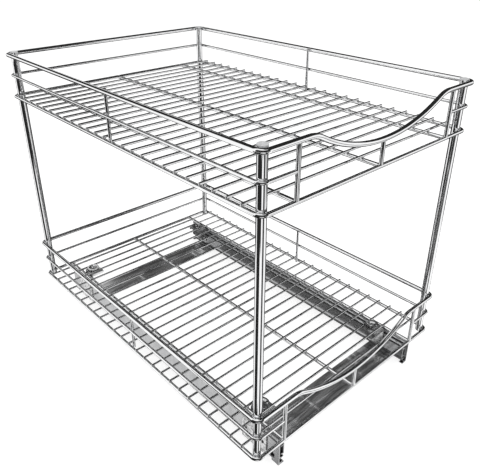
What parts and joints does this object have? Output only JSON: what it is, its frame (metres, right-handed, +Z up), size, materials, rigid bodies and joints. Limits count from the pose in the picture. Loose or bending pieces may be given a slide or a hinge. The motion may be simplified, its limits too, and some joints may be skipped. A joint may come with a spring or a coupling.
{
  "type": "pull out cabinet basket",
  "caption": "Two-tier chrome wire basket for a base cabinet, rolling out on full-extension ball slides fixed to the cabinet floor.",
  "frame": {"origin": "middle of the footprint, on the cabinet floor", "axes": "+X to the right seen from the front, +Y to the back of the cabinet (the basket pulls out along -Y), +Z up"},
  "size_m": [0.358, 0.533, 0.4168],
  "materials": {
    "bright_chrome": "polished chrome plate",
    "zinc_steel": "bright zinc plate",
    "plated_sheet": "polished plated sheet",
    "cage_steel": "plain bright strip",
    "ball_steel": "polished steel ball",
    "zinc_hardware": "zinc plated",
    "bumper_rubber": "moulded rubber",
    "cap_plastic": "satin moulding"
  },
  "bodies": {
    "base": {"front_cross_plate": "plated_sheet", "rear_cross_plate": "plated_sheet", "outer_slide_left": "zinc_steel", "outer_slide_right": "zinc_steel", "plate_rivets": "zinc_hardware", "rear_bumpers": "bumper_rubber"},
    "left_outer_cage": {"outer_cage_left": "cage_steel", "outer_balls_left": "ball_steel"},
    "left_middle_member": {"middle_slide_left": "zinc_steel"},
    "left_inner_cage": {"inner_cage_left": "cage_steel", "inner_balls_left": "ball_steel"},
    "right_outer_cage": {"outer_cage_right": "cage_steel", "outer_balls_right": "ball_steel"},
    "right_middle_member": {"middle_slide_right": "zinc_steel"},
    "right_inner_cage": {"inner_cage_right": "cage_steel", "inner_balls_right": "ball_steel"},
    "basket": {"inner_slide_left": "zinc_steel", "inner_slide_right": "zinc_steel", "front_left_bracket": "plated_sheet", "front_right_bracket": "plated_sheet", "rear_left_bracket": "plated_sheet", "rear_right_bracket": "plated_sheet", "bracket_rivets": "zinc_hardware", "clamp_screws": "zinc_hardware", "clamp_washers": "zinc_hardware", "clamp_nuts": "zinc_hardware", "lower_top_rail": "bright_chrome", "lower_middle_rail": "bright_chrome", "lower_floor_rail": "bright_chrome", "lower_floor_wires": "bright_chrome", "lower_stiffeners": "bright_chrome", "lower_front_pickets": "bright_chrome", "lower_side_pickets": "bright_chrome", "lower_corner_tubes": "bright_chrome", "front_left_post": "bright_chrome", "front_right_post": "bright_chrome", "rear_left_post": "bright_chrome", "rear_right_post": "bright_chrome", "lower_studs": "zinc_hardware", "upper_studs": "zinc_hardware", "upper_top_rail": "bright_chrome", "upper_middle_rail": "bright_chrome", "upper_floor_rail": "bright_chrome", "upper_floor_wires": "bright_chrome", "upper_stiffeners": "bright_chrome", "upper_front_pickets": "bright_chrome", "upper_side_pickets": "bright_chrome", "upper_corner_tubes": "bright_chrome", "post_caps": "cap_plastic"}
  },
  "joints": [
    {"name": "basket_slide", "type": "slide", "parent": "base", "child": "basket", "axis": [0, -1, 0], "range_m": [0, 0.5]},
    {"name": "left_outer_cage_slide", "type": "slide", "parent": "base", "child": "left_outer_cage", "axis": [0, -1, 0], "range_m": [0, 0.125]},
    {"name": "left_middle_member_slide", "type": "slide", "parent": "base", "child": "left_middle_member", "axis": [0, -1, 0], "range_m": [0, 0.25]},
    {"name": "left_inner_cage_slide", "type": "slide", "parent": "base", "child": "left_inner_cage", "axis": [0, -1, 0], "range_m": [0, 0.375]},
    {"name": "right_outer_cage_slide", "type": "slide", "parent": "base", "child": "right_outer_cage", "axis": [0, -1, 0], "range_m": [0, 0.125]},
    {"name": "right_middle_member_slide", "type": "slide", "parent": "base", "child": "right_middle_member", "axis": [0, -1, 0], "range_m": [0, 0.25]},
    {"name": "right_inner_cage_slide", "type": "slide", "parent": "base", "child": "right_inner_cage", "axis": [0, -1, 0], "range_m": [0, 0.375]}
  ],
  "couplings": [
    {"joint": "left_outer_cage_slide", "follows": "basket_slide", "ratio": 0.25},
    {"joint": "left_middle_member_slide", "follows": "basket_slide", "ratio": 0.5},
    {"joint": "left_inner_cage_slide", "follows": "basket_slide", "ratio": 0.75},
    {"joint": "right_outer_cage_slide", "follows": "basket_slide", "ratio": 0.25},
    {"joint": "right_middle_member_slide", "follows": "basket_slide", "ratio": 0.5},
    {"joint": "right_inner_cage_slide", "follows": "basket_slide", "ratio": 0.75}
  ]
}
